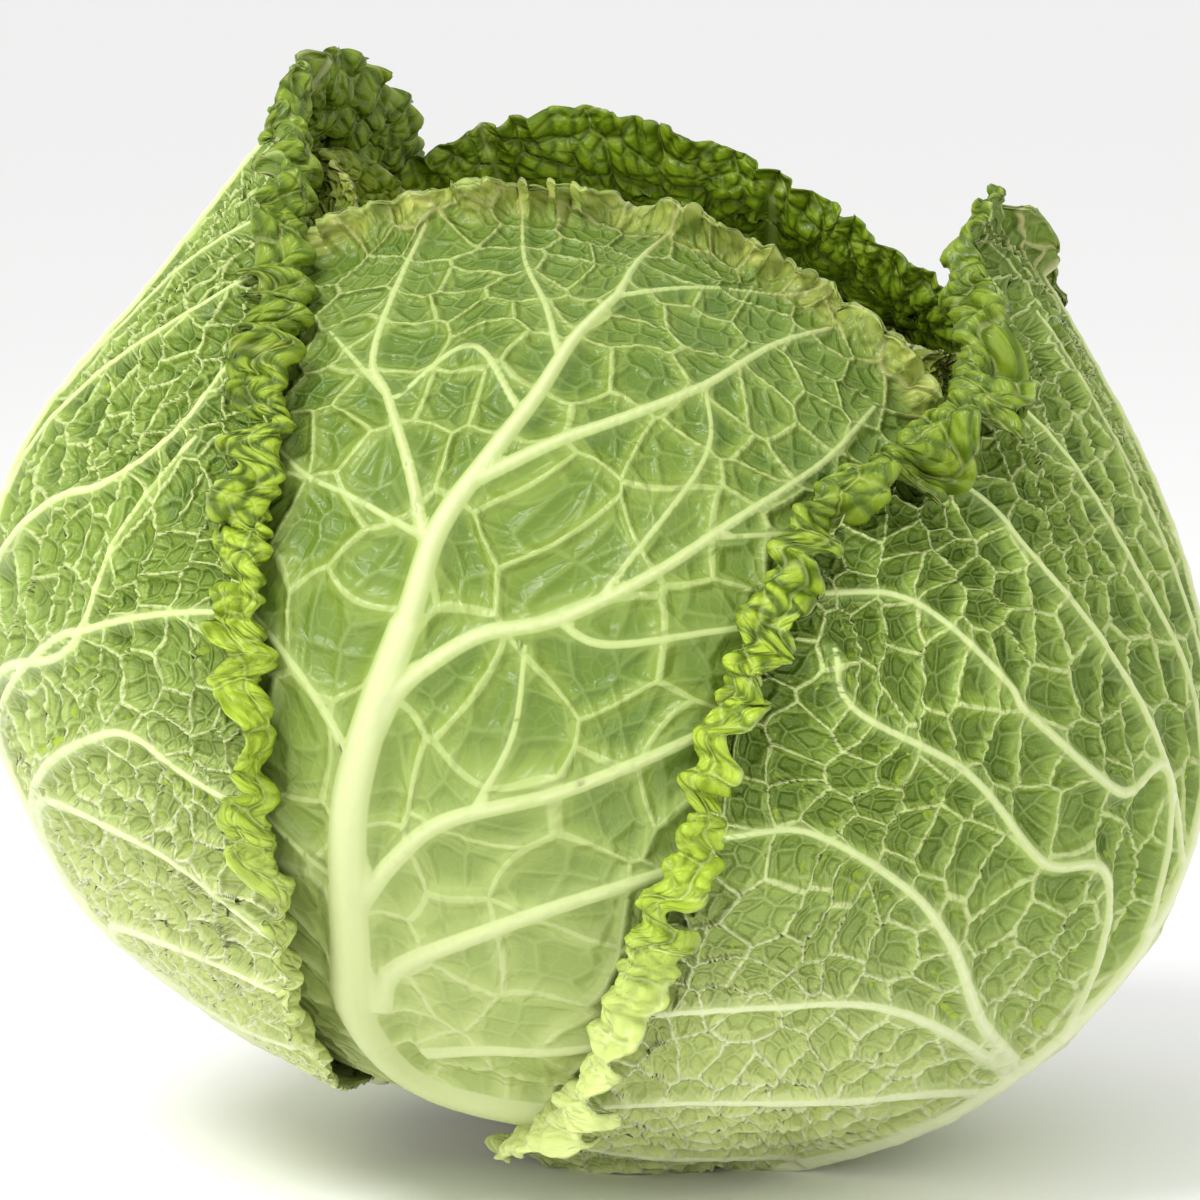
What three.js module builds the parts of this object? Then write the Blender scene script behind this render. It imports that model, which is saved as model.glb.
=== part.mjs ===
// A savoy cabbage as cut: loose wrapper leaves around a closed heart, on a short stem stub.
// Units are millimetres and +Z is up. The head leans, and rests on a small flat spot.
//
// Every leaf is a thin closed shell drawn on one shared head surface. A place on that surface is
// a direction from the head's middle, and a leaf lies at its own depth below the surface, so
// leaves that overlap never touch.
import * as THREE from 'three';
import { mergeVertices } from 'three/addons/utils/BufferGeometryUtils.js';

// ---- Driving dimensions ----
const LEAN_DEG = 14; // the stem's axis leans this much towards +X
const FLOOR_DROP = 87; // height of the head's middle above the resting surface
const FOOT_X = 9; // middle of the flat resting spot, measured from below the head's middle
const FOOT_RADIUS = 27;
const FOOT_BLEND = 14; // width of the ring in which the flat spot turns into the round head
const FOOT_SIDE = -0.5; // the flat spot is only looked for in directions steeper than this (z)
const LEAF_THICKNESS = 1.6;
const STEM_RADIUS = 15;
const STEM_TOP = -52; // along the stem's axis, from the head's middle
const STEM_CUT = -79;
const STEM_CHAMFER = 2;
const HEART_DEPTH = 14.6; // the heart's surface lies this deep in the head
const STEM_GAP = 0.5; // between the stem and the heart that grows round it
const LATHE_SEGMENTS = 24;
const HEART_STEPS = 18; // rings of the heart from its bottom to its top

// The head's side profile: angle from the bottom pole in degrees, radius in millimetres.
const HEAD_PROFILE = [
  [0, 76],
  [20, 86],
  [40, 94.5],
  [60, 104],
  [85, 111.5],
  [110, 108],
  [140, 99.5],
  [160, 94],
  [180, 91],
];

// Above STAND_FROM the leaves stop following the dome and stand up. The rise is in millimetres,
// full from STAND_SPAN degrees further up, every 45 degrees from the front to the right and round.
const STAND_FROM = 114;
const STAND_SPAN = 36;
const STAND_POWER = 1.5;
const STAND_RISE = [0, 1, 9, 16, 20, 21, 20, 3];

// A margin turns out from FLARE_FROM, as a share of the way from the blade's middle to its edge,
// and only in the upper part of the head: nothing below LIFT_LOW, all of it above LIFT_HIGH,
// as the height (z) of a direction one unit long.
const FLARE_FROM = 0.84;
const LIFT_LOW = -0.35;
const LIFT_HIGH = 0.1;

// One entry for each leaf. middle is the azimuth (0 at the front, 90 at the right) and the angle
// from the bottom pole of the blade's middle. reach is how far the blade goes from there, every
// 30 degrees clockwise from its tip, in degrees of arc. lift is how far its margin turns out.
const LEAVES = [
  {
    name: 'leaf_right',
    middle: [75, 85],
    depth: 0,
    lift: 3,
    cells: 22,
    reach: [70, 60, 58, 62, 66, 76, 70, 78, 70, 67, 64, 59],
    color: 0x8fae4e,
  },
  {
    name: 'leaf_left',
    middle: [-95, 85],
    depth: 0,
    lift: 3,
    cells: 18,
    reach: [60, 52, 59, 64, 70, 69, 71, 70, 68, 66, 63, 64],
    color: 0x9ab860,
  },
  {
    name: 'leaf_front',
    middle: [-12, 90],
    depth: 3.2,
    lift: 0.5,
    cells: 18,
    reach: [69, 63, 60, 60, 60, 68, 76, 68, 62, 60, 62, 64],
    color: 0xa9c668,
  },
  {
    name: 'leaf_back',
    middle: [168, 92],
    depth: 3.2,
    lift: 0.5,
    cells: 18,
    reach: [60, 63, 66, 66, 62, 68, 78, 68, 62, 66, 66, 63],
    color: 0x5f8a1e,
  },
  {
    name: 'leaf_inner_right',
    middle: [62, 100],
    depth: 6.6,
    lift: 0,
    cells: 12,
    reach: [52, 54, 56, 56, 58, 66, 84, 66, 58, 56, 56, 54],
    color: 0xb4c95e,
  },
  {
    name: 'leaf_inner_left',
    middle: [-100, 100],
    depth: 6.6,
    lift: 0,
    cells: 12,
    reach: [50, 52, 56, 58, 60, 66, 84, 66, 60, 58, 56, 52],
    color: 0xb9cc62,
  },
  {
    name: 'leaf_inner_front',
    middle: [-25, 98],
    depth: 10,
    lift: 0,
    cells: 12,
    reach: [58, 58, 56, 56, 58, 66, 82, 66, 58, 56, 56, 58],
    color: 0xc3d26e,
  },
  {
    name: 'leaf_inner_back',
    middle: [160, 98],
    depth: 10,
    lift: 0,
    cells: 12,
    reach: [56, 56, 56, 56, 58, 66, 82, 66, 58, 56, 56, 56],
    color: 0xc3d26e,
  },
];

const radians = THREE.MathUtils.degToRad;
const degrees = THREE.MathUtils.radToDeg;
const LEAN = radians(LEAN_DEG);
const Y_AXIS = new THREE.Vector3(0, 1, 0);

// ---- The head's surface ----

// Smooth curve through a list of [x, y] points, flat at both ends.
function smoothCurve(points, x) {
  let i = 0;
  while (i < points.length - 2 && x > points[i + 1][0]) {
    i += 1;
  }
  const slope = (k) => {
    if (k === 0 || k === points.length - 1) {
      return 0;
    }
    const rise = points[k + 1][1] - points[k - 1][1];
    return rise / (points[k + 1][0] - points[k - 1][0]);
  };
  const width = points[i + 1][0] - points[i][0];
  const t = (x - points[i][0]) / width;
  const fromStart = (2 * t ** 3 - 3 * t ** 2 + 1) * points[i][1];
  const fromEnd = (3 * t ** 2 - 2 * t ** 3) * points[i + 1][1];
  const bends = (t ** 3 - 2 * t ** 2 + t) * slope(i) + (t ** 3 - t ** 2) * slope(i + 1);
  return fromStart + fromEnd + width * bends;
}

// Value on a closed ring of evenly spaced numbers, at a turn from 0 to 1.
function ringValue(values, turn) {
  const place = THREE.MathUtils.euclideanModulo(turn, 1) * values.length;
  const i = Math.floor(place);
  const at = (k) => values[(i + k + values.length) % values.length];
  const t = place - i;
  const slope0 = (at(1) - at(-1)) / 2;
  const slope1 = (at(2) - at(0)) / 2;
  const ends = (2 * t ** 3 - 3 * t ** 2 + 1) * at(0) + (3 * t ** 2 - 2 * t ** 3) * at(1);
  return ends + (t ** 3 - 2 * t ** 2 + t) * slope0 + (t ** 3 - t ** 2) * slope1;
}

// Direction from the head's middle: azimuth 0 is the front (-Y), 90 the right (+X), and the
// angle counts from the bottom pole.
function direction(azimuth, fromPole) {
  const ring = Math.sin(fromPole);
  return new THREE.Vector3(
    ring * Math.sin(azimuth),
    -ring * Math.cos(azimuth),
    -Math.cos(fromPole),
  );
}

function headRadius(dir) {
  const fromPole = degrees(Math.acos(THREE.MathUtils.clamp(-dir.z, -1, 1)));
  const dome = smoothCurve(HEAD_PROFILE, fromPole);
  const turn = Math.atan2(dir.x, -dir.y) / (2 * Math.PI);
  const beyond = THREE.MathUtils.clamp((fromPole - STAND_FROM) / STAND_SPAN, 0, 1);
  return dome + ringValue(STAND_RISE, turn) * beyond ** STAND_POWER;
}

// The point at a depth below the head's surface, in the leaning pose. Near the resting spot the
// surface is drawn to a plane, so each layer is flat there.
function pointAt(dir, depth) {
  const place = dir.clone().multiplyScalar(headRadius(dir) - depth);
  place.applyAxisAngle(Y_AXIS, LEAN);
  const floor = -FLOOR_DROP + depth;
  const down = place.z / place.length();
  if (down < FOOT_SIDE) {
    const flat = place.clone().multiplyScalar(floor / place.z);
    const away = Math.hypot(flat.x - FOOT_X, flat.y) - FOOT_RADIUS;
    const share = 1 - THREE.MathUtils.smoothstep(away, 0, FOOT_BLEND);
    place.lerp(flat, share);
  }
  place.z = Math.max(place.z, floor);
  return place;
}

// ---- Leaves ----

// Where a blade's place (x, y) lies: degrees of arc from the blade's middle, y towards the tip.
function bladeDirection(leaf, x, y) {
  const azimuth = radians(leaf.middle[0]);
  const fromPole = radians(leaf.middle[1]);
  const middle = direction(azimuth, fromPole);
  const up = new THREE.Vector3(
    Math.cos(fromPole) * Math.sin(azimuth),
    -Math.cos(fromPole) * Math.cos(azimuth),
    Math.sin(fromPole),
  );
  const across = new THREE.Vector3(Math.cos(azimuth), Math.sin(azimuth), 0);
  const arc = Math.hypot(x, y);
  if (arc < 1e-9) {
    return middle;
  }
  const swing = radians(arc);
  const toward = across.multiplyScalar(x / arc).add(up.multiplyScalar(y / arc));
  return middle.multiplyScalar(Math.cos(swing)).add(toward.multiplyScalar(Math.sin(swing)));
}

// One sheet of a leaf: a square grid pulled into a disc, then out to the blade's outline.
function bladeSheet(leaf, sheetDepth) {
  const points = [];
  for (let row = 0; row <= leaf.cells; row += 1) {
    for (let column = 0; column <= leaf.cells; column += 1) {
      const s = (2 * column) / leaf.cells - 1;
      const t = (2 * row) / leaf.cells - 1;
      const discX = s * Math.sqrt(1 - (t * t) / 2);
      const discY = t * Math.sqrt(1 - (s * s) / 2);
      const turn = Math.atan2(discX, discY) / (2 * Math.PI);
      const reach = ringValue(leaf.reach, turn);
      const dir = bladeDirection(leaf, discX * reach, discY * reach);
      const share = THREE.MathUtils.smoothstep(Math.hypot(discX, discY), FLARE_FROM, 1);
      const upperShare = THREE.MathUtils.smoothstep(dir.z, LIFT_LOW, LIFT_HIGH);
      points.push(pointAt(dir, sheetDepth - leaf.lift * share * upperShare));
    }
  }
  return points;
}

// The grid's outer ring, counter-clockwise as seen from outside the head.
function ringOrder(cells) {
  const width = cells + 1;
  const ring = [];
  for (let k = 0; k < cells; k += 1) ring.push(k);
  for (let k = 0; k < cells; k += 1) ring.push(k * width + cells);
  for (let k = cells; k > 0; k -= 1) ring.push(cells * width + k);
  for (let k = cells; k > 0; k -= 1) ring.push(k * width);
  return ring;
}

function leafGeometry(leaf) {
  const outer = bladeSheet(leaf, leaf.depth);
  const inner = bladeSheet(leaf, leaf.depth + LEAF_THICKNESS);
  const width = leaf.cells + 1;
  const count = outer.length;
  const faces = [];
  for (let row = 0; row < leaf.cells; row += 1) {
    for (let column = 0; column < leaf.cells; column += 1) {
      const a = row * width + column;
      const b = a + 1;
      const c = a + width + 1;
      const d = a + width;
      faces.push(a, b, c, a, c, d);
      faces.push(count + a, count + c, count + b, count + a, count + d, count + c);
    }
  }
  const ring = ringOrder(leaf.cells);
  ring.forEach((a, k) => {
    const b = ring[(k + 1) % ring.length];
    faces.push(a, count + a, count + b, a, count + b, b);
  });
  const geometry = new THREE.BufferGeometry();
  const flat = [...outer, ...inner].flatMap((point) => [point.x, point.y, point.z]);
  geometry.setAttribute('position', new THREE.Float32BufferAttribute(flat, 3));
  geometry.setIndex(faces);
  geometry.computeVertexNormals();
  return geometry;
}

// ---- Heart and stem ----

// The closed heart follows the head's dome without the standing rims. Its underside has a
// socket for the top of the stem.
function heartGeometry() {
  const socketRadius = STEM_RADIUS + STEM_GAP;
  const profile = [
    new THREE.Vector2(0, STEM_TOP + STEM_GAP),
    new THREE.Vector2(socketRadius, STEM_TOP + STEM_GAP),
  ];
  for (let k = 0; k <= HEART_STEPS; k += 1) {
    const fromPole = (180 * k) / HEART_STEPS;
    const radius = smoothCurve(HEAD_PROFILE, fromPole) - HEART_DEPTH;
    const side = k === HEART_STEPS ? 0 : radius * Math.sin(radians(fromPole));
    const height = -radius * Math.cos(radians(fromPole));
    if (k === HEART_STEPS || side > socketRadius + 1) {
      profile.push(new THREE.Vector2(side, height));
    } else if (k === 1) {
      profile.push(new THREE.Vector2(socketRadius, height));
    }
  }
  return standUp(new THREE.LatheGeometry(profile, LATHE_SEGMENTS));
}

function stemGeometry() {
  const profile = [
    new THREE.Vector2(0, STEM_CUT),
    new THREE.Vector2(STEM_RADIUS - STEM_CHAMFER, STEM_CUT),
    new THREE.Vector2(STEM_RADIUS, STEM_CUT + STEM_CHAMFER),
    new THREE.Vector2(STEM_RADIUS, STEM_TOP - STEM_CHAMFER),
    new THREE.Vector2(STEM_RADIUS - STEM_CHAMFER, STEM_TOP),
    new THREE.Vector2(0, STEM_TOP),
  ];
  return standUp(new THREE.LatheGeometry(profile, LATHE_SEGMENTS));
}

// A lathe turns about Y: its axis is brought upright, then leaned with the head, and its
// doubled points along the seam and at the poles are joined.
function standUp(geometry) {
  geometry.rotateX(Math.PI / 2);
  geometry.rotateY(LEAN);
  geometry.deleteAttribute('normal');
  geometry.deleteAttribute('uv');
  const merged = mergeVertices(geometry, 1e-3);
  merged.computeVertexNormals();
  return merged;
}

// ---- Assembly ----
function piece(name, geometry, color, roughness) {
  const material = new THREE.MeshStandardMaterial({ color, roughness, metalness: 0 });
  const mesh = new THREE.Mesh(geometry, material);
  mesh.name = name;
  return mesh;
}

const cabbage = new THREE.Group();
LEAVES.forEach((leaf) => {
  cabbage.add(piece(leaf.name, leafGeometry(leaf), leaf.color, 0.55));
});
cabbage.add(piece('heart', heartGeometry(), 0xcfd98a, 0.55));
cabbage.add(piece('stem', stemGeometry(), 0xd9dcb0, 0.65));

// The origin is under the middle of the whole head, on the surface it rests on.
const extent = new THREE.Box3().setFromObject(cabbage);
const middle = extent.getCenter(new THREE.Vector3());
cabbage.position.set(-middle.x, -middle.y, -extent.min.z);

export default cabbage;
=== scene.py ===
# %% [markdown]
# # A savoy cabbage, leaf by leaf
# A savoy is a loose head of crinkled leaves on a short stem. What makes it look real is the
# leaf: thick cream ribs that branch into a net of pale veins, the blade puffed up between
# them, and a dark, frilled margin that rolls outwards. The CAD model holds the size, the
# leaning pose and the place of each leaf. This script grows the real surface on that plan.

# %% Load the frame
import math
import bpy
import numpy as np
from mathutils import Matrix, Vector


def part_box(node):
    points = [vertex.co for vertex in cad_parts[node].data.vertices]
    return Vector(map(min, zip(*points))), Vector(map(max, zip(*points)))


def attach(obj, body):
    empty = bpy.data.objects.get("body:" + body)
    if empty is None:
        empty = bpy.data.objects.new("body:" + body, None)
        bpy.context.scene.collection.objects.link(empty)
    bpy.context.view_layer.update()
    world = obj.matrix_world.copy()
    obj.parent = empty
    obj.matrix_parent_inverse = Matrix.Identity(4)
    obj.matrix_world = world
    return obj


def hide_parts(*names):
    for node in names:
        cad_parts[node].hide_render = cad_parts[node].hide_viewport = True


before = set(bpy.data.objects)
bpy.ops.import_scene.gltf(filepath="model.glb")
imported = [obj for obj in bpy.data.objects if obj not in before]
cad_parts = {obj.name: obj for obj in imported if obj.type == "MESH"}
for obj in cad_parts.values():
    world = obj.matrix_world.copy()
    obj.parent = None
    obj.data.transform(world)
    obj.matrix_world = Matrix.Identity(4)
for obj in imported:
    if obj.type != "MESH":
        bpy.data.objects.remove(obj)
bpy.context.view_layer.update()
MM = 0.001

# %% [markdown]
# ## Where the head stands
# Everything is placed from the head's middle. The stem is a cylinder that leans with the
# head, so the middle of its box lies on the head's axis, a known way below the head's middle.

# %% The head's middle and its lean
LEAN = math.radians(14)
AXIS = np.array([math.sin(LEAN), 0.0, math.cos(LEAN)])
STEM_TOP = -52.0
STEM_CUT = -79.0
STEM_RADIUS = 15.0
stem_low, stem_high = (np.array(corner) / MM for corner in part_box("stem"))
HEAD_MIDDLE = (stem_low + stem_high) / 2 - AXIS * (STEM_TOP + STEM_CUT) / 2
FLOOR_DROP = HEAD_MIDDLE[2]
print("head's middle in mm:", HEAD_MIDDLE.round(2))

# %% [markdown]
# ## The head's surface
# A place on the head is a direction from its middle. A side profile gives the radius: flat
# below, widest just under half height, and a softer dome on top. Above the shoulder the loose
# leaves stand up from the dome, most at the left and the back. The ground presses one small
# flat spot. Points are worked out with numpy, thousands at a time.

# %% The head's surface
HEAD_PROFILE = np.array([
    (0, 76), (20, 86), (40, 94.5), (60, 104), (85, 111.5),
    (110, 108), (140, 99.5), (160, 94), (180, 91),
], dtype=float)
STAND_FROM = 114.0
STAND_SPAN = 36.0
STAND_RISE = [0, 1, 9, 16, 20, 21, 20, 3]
STAND_SHAPE = 1.5  # above 1, the rims stand up slowly at first
FOOT_X = 9.0
FOOT_RADIUS = 27.0
FOOT_BLEND = 14.0


def smoothstep(x, low, high):
    t = np.clip((x - low) / (high - low), 0.0, 1.0)
    return t * t * (3 - 2 * t)


def smooth_curve(points, x):
    """A smooth line through (x, y) points, level at both ends."""
    xs, ys = points[:, 0], points[:, 1]
    slopes = np.zeros(len(xs))
    slopes[1:-1] = (ys[2:] - ys[:-2]) / (xs[2:] - xs[:-2])
    i = np.clip(np.searchsorted(xs, x) - 1, 0, len(xs) - 2)
    width = xs[i + 1] - xs[i]
    t = (x - xs[i]) / width
    ends = (2 * t**3 - 3 * t**2 + 1) * ys[i] + (3 * t**2 - 2 * t**3) * ys[i + 1]
    bends = (t**3 - 2 * t**2 + t) * slopes[i] + (t**3 - t**2) * slopes[i + 1]
    return ends + width * bends


def ring_value(values, turn):
    """Values spaced evenly round a ring, read smoothly at a turn from 0 to 1."""
    ring = np.asarray(values, dtype=float)
    place = np.mod(turn, 1.0) * len(ring)
    i = np.floor(place).astype(int)
    t = place - i
    before, here = ring[(i - 1) % len(ring)], ring[i % len(ring)]
    after, later = ring[(i + 1) % len(ring)], ring[(i + 2) % len(ring)]
    ends = (2 * t**3 - 3 * t**2 + 1) * here + (3 * t**2 - 2 * t**3) * after
    return (ends + (t**3 - 2 * t**2 + t) * (after - before) / 2
            + (t**3 - t**2) * (later - here) / 2)


def unit(vectors):
    return vectors / np.maximum(np.linalg.norm(vectors, axis=1), 1e-9)[:, None]


def degrees_from_pole(ways):
    """How far each unit direction is from straight down the head's axis."""
    return np.degrees(np.arccos(np.clip(-ways[:, 2], -1, 1)))


def leaned(place):
    """Points of the upright head, turned with the leaning one."""
    c, s = math.cos(LEAN), math.sin(LEAN)
    return np.stack([place[:, 0] * c + place[:, 2] * s, place[:, 1],
                     place[:, 2] * c - place[:, 0] * s], axis=1)


def dome_point(ways, depth):
    """Points (mm, from the head's middle) on the plain dome, without the standing rims."""
    radius = smooth_curve(HEAD_PROFILE, degrees_from_pole(ways))
    return leaned(ways * (radius - depth)[:, None])


def head_point(ways, depth):
    """Points (mm, from the head's middle) at a depth under the surface, for unit directions."""
    from_pole = degrees_from_pole(ways)
    turn = np.arctan2(ways[:, 0], -ways[:, 1]) / (2 * math.pi)
    beyond = np.clip((from_pole - STAND_FROM) / STAND_SPAN, 0, 1)
    standing = ring_value(STAND_RISE, turn) * beyond**STAND_SHAPE
    place = leaned(ways * (smooth_curve(HEAD_PROFILE, from_pole) + standing - depth)[:, None])
    floor = -FLOOR_DROP + depth
    down = place[:, 2] / np.linalg.norm(place, axis=1)
    flat = place * (floor / np.minimum(place[:, 2], -1.0))[:, None]
    away = np.hypot(flat[:, 0] - FOOT_X, flat[:, 1]) - FOOT_RADIUS
    share = (1 - smoothstep(away, 0, FOOT_BLEND)) * (down < -0.5)
    return place + (flat - place) * share[:, None]


# %% [markdown]
# ## Wobble
# Nothing on a leaf repeats. A sum of a few sine waves in random directions gives a smooth,
# seeded unevenness that is cheap to work out for every point of a dense mesh.

# %% Seeded wobble
def wobble(x, y, wavelength, seed, waves=7):
    """A smooth random height for each place, mostly between -1.5 and 1.5."""
    rng = np.random.default_rng(seed)
    total = np.zeros_like(x, dtype=float)
    for _ in range(waves):
        angle, phase = rng.uniform(0, 2 * math.pi, 2)
        step = 2 * math.pi / (wavelength * rng.uniform(0.7, 1.4))
        total += np.sin((x * math.cos(angle) + y * math.sin(angle)) * step + phase)
    return total / math.sqrt(waves)


# %% [markdown]
# ## One vein net for the mesh and the material
# The fine veins are a net of polygons, which is what a Voronoi texture's distance to edge
# draws. The mesh must puff up exactly between the lines that the material paints, so the
# Voronoi node's own points are worked out here too, with the same hash of each grid square.

# %% The Voronoi net in numpy
HASH_START = 0xDEADBEEF
HASH_TURNS = (14, 11, 25, 16, 4, 14, 24)
HASH_ORDER = ("cb", "ac", "ba", "cb", "ac", "ba", "cb")
WHOLE = 0xFFFFFFFF
SAME_POINT = 0.01  # points of the net closer than this are one point


def mixed_bits(*keys):
    """Bob Jenkins' hash of two or three whole numbers, as shader nodes use it."""
    start = np.uint32((HASH_START + (len(keys) << 2) + 13) & WHOLE)
    a, b, c = (np.full(keys[0].shape, start, dtype=np.uint32) for _ in range(3))
    a += keys[0]
    b += keys[1]
    if len(keys) == 3:
        c += keys[2]

    def turned(x, bits):
        return (x << np.uint32(bits)) | (x >> np.uint32(32 - bits))

    held = {"a": a, "b": b, "c": c}
    for bits, (x, y) in zip(HASH_TURNS, HASH_ORDER):
        held[x] ^= held[y]
        held[x] -= turned(held[y], bits)
    return c.astype(np.float64) / WHOLE


def net_points(column, row, evenness):
    """The point that the Voronoi node puts in each grid square."""
    column_bits, row_bits = (v.astype(np.float32).view(np.uint32) for v in (column, row))
    one = np.full(column.shape, np.float32(1.0)).view(np.uint32)
    x = mixed_bits(column_bits, row_bits)
    y = mixed_bits(column_bits, row_bits, one)
    return column + x * evenness, row + y * evenness


def net_distance(x, y, evenness):
    """How far each place is from the nearest line of the net, in grid squares."""
    column, row = np.floor(x), np.floor(y)
    best = np.full(x.shape, np.inf)
    near_x, near_y = np.zeros_like(x), np.zeros_like(y)
    around = [(i, j) for j in range(-2, 3) for i in range(-2, 3)]
    points = [net_points(column + i, row + j, evenness) for i, j in around]
    for px, py in points:
        gap = (px - x) ** 2 + (py - y) ** 2
        closer = gap < best
        best = np.where(closer, gap, best)
        near_x, near_y = np.where(closer, px, near_x), np.where(closer, py, near_y)
    edge = np.full(x.shape, np.inf)
    for px, py in points:
        across_x, across_y = px - near_x, py - near_y
        length = np.hypot(across_x, across_y)
        other = length > SAME_POINT
        mid = (px + near_x) / 2 - x, (py + near_y) / 2 - y
        gap = (mid[0] * across_x + mid[1] * across_y) / np.where(other, length, 1)
        edge = np.where(other & (gap < edge), gap, edge)
    return edge


NET_EVENNESS = 0.82
FINE_NET = 2.3  # the fine net's squares to one coarse square
FINE_SHIFT = 7.0  # keeps the two nets' lines apart
FINEST_NET = 6.3
FINEST_SHIFT = 2.0
test_x, test_y = np.meshgrid(np.linspace(0, 8, 200), np.linspace(0, 8, 200))
test_net = net_distance(test_x.ravel(), test_y.ravel(), NET_EVENNESS)
print("net distance: mean %.3f, most %.3f squares" % (test_net.mean(), test_net.max()))

# %% [markdown]
# ## Ribs and side veins
# A midrib is thick at the stem and thin at the tip, and side veins leave it like branches.
# Each vein is a few points on the blade, in degrees of arc, with a half width in mm at its
# start and its end. The mesh is a grid, and a thin ridge that crosses a grid looks like a
# string of beads, so grid points that lie close to a vein's middle are moved onto it.

# %% Vein samples
ARC_MM = 1.9  # one degree of arc on the blade
SAMPLE_MM = 0.8
WIDE_RIB = 2.4  # a rib this wide is drawn well enough by the grid alone
FOLLOW = 0.42  # points nearer than this share of a grid step to a vein's middle move onto it
FOLLOW_MM = 1.2  # and never from further away than this
TAPER = 0.8  # below 1, a vein thins soonest near its start
BLOCK = 4000  # points compared with the vein samples at one time


def sample_vein(points, width_start, width_end):
    """Rows of x, y, half width (mm) and unit direction along a smooth line through the points."""
    points = np.asarray(points, dtype=float) * ARC_MM
    before = np.vstack([2 * points[0] - points[1], points, 2 * points[-1] - points[-2]])
    rows = []
    for k in range(len(points) - 1):
        p0, p1, p2, p3 = before[k:k + 4]
        count = max(4, int(np.linalg.norm(p2 - p1) / SAMPLE_MM))
        t = np.linspace(0, 1, count, endpoint=False)[:, None]
        bend = (2 * p0 - 5 * p1 + 4 * p2 - p3) * t**2 + (3 * p1 - p0 - 3 * p2 + p3) * t**3
        rows.append(0.5 * (2 * p1 + (p2 - p0) * t + bend))
    line = np.vstack(rows)
    along = np.linspace(0, 1, len(line))
    width = width_start + (width_end - width_start) * along**TAPER
    return np.column_stack([line, width, unit(np.gradient(line, axis=0))])


def grid_steps(x, y, tables):
    """The narrowest step (mm) between grid lines at each point, for tables of point numbers."""
    step = np.zeros(len(x))
    for table in tables:
        across = np.gradient(x[table], axis=1), np.gradient(y[table], axis=1)
        along = np.gradient(x[table], axis=0), np.gradient(y[table], axis=0)
        area = np.abs(across[0] * along[1] - across[1] * along[0])
        longest = np.maximum(np.hypot(*across), np.hypot(*along))
        step[table] = area / np.maximum(longest, 1e-6)
    return step


def meet_veins(x, y, veins, step):
    """Moves close places onto veins. Returns the places, how far each is inside a vein's edge
    (mm, below zero outside) and that vein's half width."""
    samples = np.vstack([sample_vein(*vein) for vein in veins]).astype(np.float32)
    nearest = np.empty(len(x), dtype=int)
    places = np.column_stack([x, y]).astype(np.float32)
    for start in range(0, len(x), BLOCK):
        block = slice(start, start + BLOCK)
        gap = np.hypot(places[block, :1] - samples[:, 0], places[block, 1:] - samples[:, 1])
        nearest[block] = (samples[:, 2] - gap).argmax(axis=1)
    near_x, near_y, width, ahead_x, ahead_y = samples[nearest].T.astype(float)
    gap = np.hypot(x - near_x, y - near_y)
    across = (y - near_y) * ahead_x - (x - near_x) * ahead_y
    close = (np.abs(across) < FOLLOW * step) & (gap < FOLLOW_MM) & (width < WIDE_RIB)
    x = np.where(close, x + across * ahead_y, x)
    y = np.where(close, y - across * ahead_x, y)
    gap = np.where(close, 0.0, gap)
    return x, y, width - gap, width


SIDE_PATH = ((0, 0), (0.45, 0.32), (0.8, 0.75), (1, 1.25))  # shares of the reach and the rise
SIDE_RISE = 26.0
SIDE_WIDTH = 1.5
SIDE_END = 0.5
SIDE_SHORTER = 0.45  # how much shorter the branches get on the way to the tip
SIDE_START = 0.6  # how far the first branch is from the stem, in gaps between branches
LAST_BRANCH = 0.86  # how far up the midrib the last branch leaves it


def side_veins(midrib, side, count, reach):
    """Evenly spaced branches on one side of a midrib, for the leaf's parts out of sight."""
    midrib = np.asarray(midrib, dtype=float)
    veins = []
    for k in range(count):
        share = (k + SIDE_START) / (count + SIDE_START)
        y = midrib[0, 1] + (midrib[-1, 1] - midrib[0, 1]) * share * LAST_BRANCH
        x = np.interp(y, midrib[:, 1], midrib[:, 0])
        length = reach * (1 - SIDE_SHORTER * share)
        path = [(x + side * length * far, y + SIDE_RISE * up) for far, up in SIDE_PATH]
        veins.append((path, SIDE_WIDTH * (1.25 - 0.6 * share), SIDE_END))
    return veins


def feathered(midrib, count, reach):
    """Branches on both sides of a midrib."""
    return side_veins(midrib, 1, count, reach) + side_veins(midrib, -1, count, reach)


# %% [markdown]
# ## A leaf's blade on the head
# A blade is drawn flat, as degrees of arc from its middle, and laid over the head like a
# sheet over a ball. Its outline is how far it reaches every 30 degrees clockwise from its
# tip.

# %% Laying a blade on the head
def blade_ways(middle, x, y):
    """Directions for blade places in degrees of arc, y towards the tip."""
    azimuth, from_pole = np.radians(middle[0]), np.radians(middle[1])
    out = np.array([math.sin(from_pole) * math.sin(azimuth),
                    -math.sin(from_pole) * math.cos(azimuth), -math.cos(from_pole)])
    up = np.array([math.cos(from_pole) * math.sin(azimuth),
                   -math.cos(from_pole) * math.cos(azimuth), math.sin(from_pole)])
    across = np.array([math.cos(azimuth), math.sin(azimuth), 0.0])
    arc = np.maximum(np.hypot(x, y), 1e-9)
    toward = (x / arc)[:, None] * across + (y / arc)[:, None] * up
    swing = np.radians(arc)[:, None]
    return np.cos(swing) * out + np.sin(swing) * toward


# %% [markdown]
# ## The frilled margin
# A savoy leaf's rim grows faster than its middle, so it has to buckle. The last centimetre or
# so folds over outwards, lies as a flap on the leaf and rolls up at the very edge, and waves of
# uneven size crowd towards that edge. Each point of the band is bent about a line that runs
# along the rim: first round the fold, then straight on, then round the roll.

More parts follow.
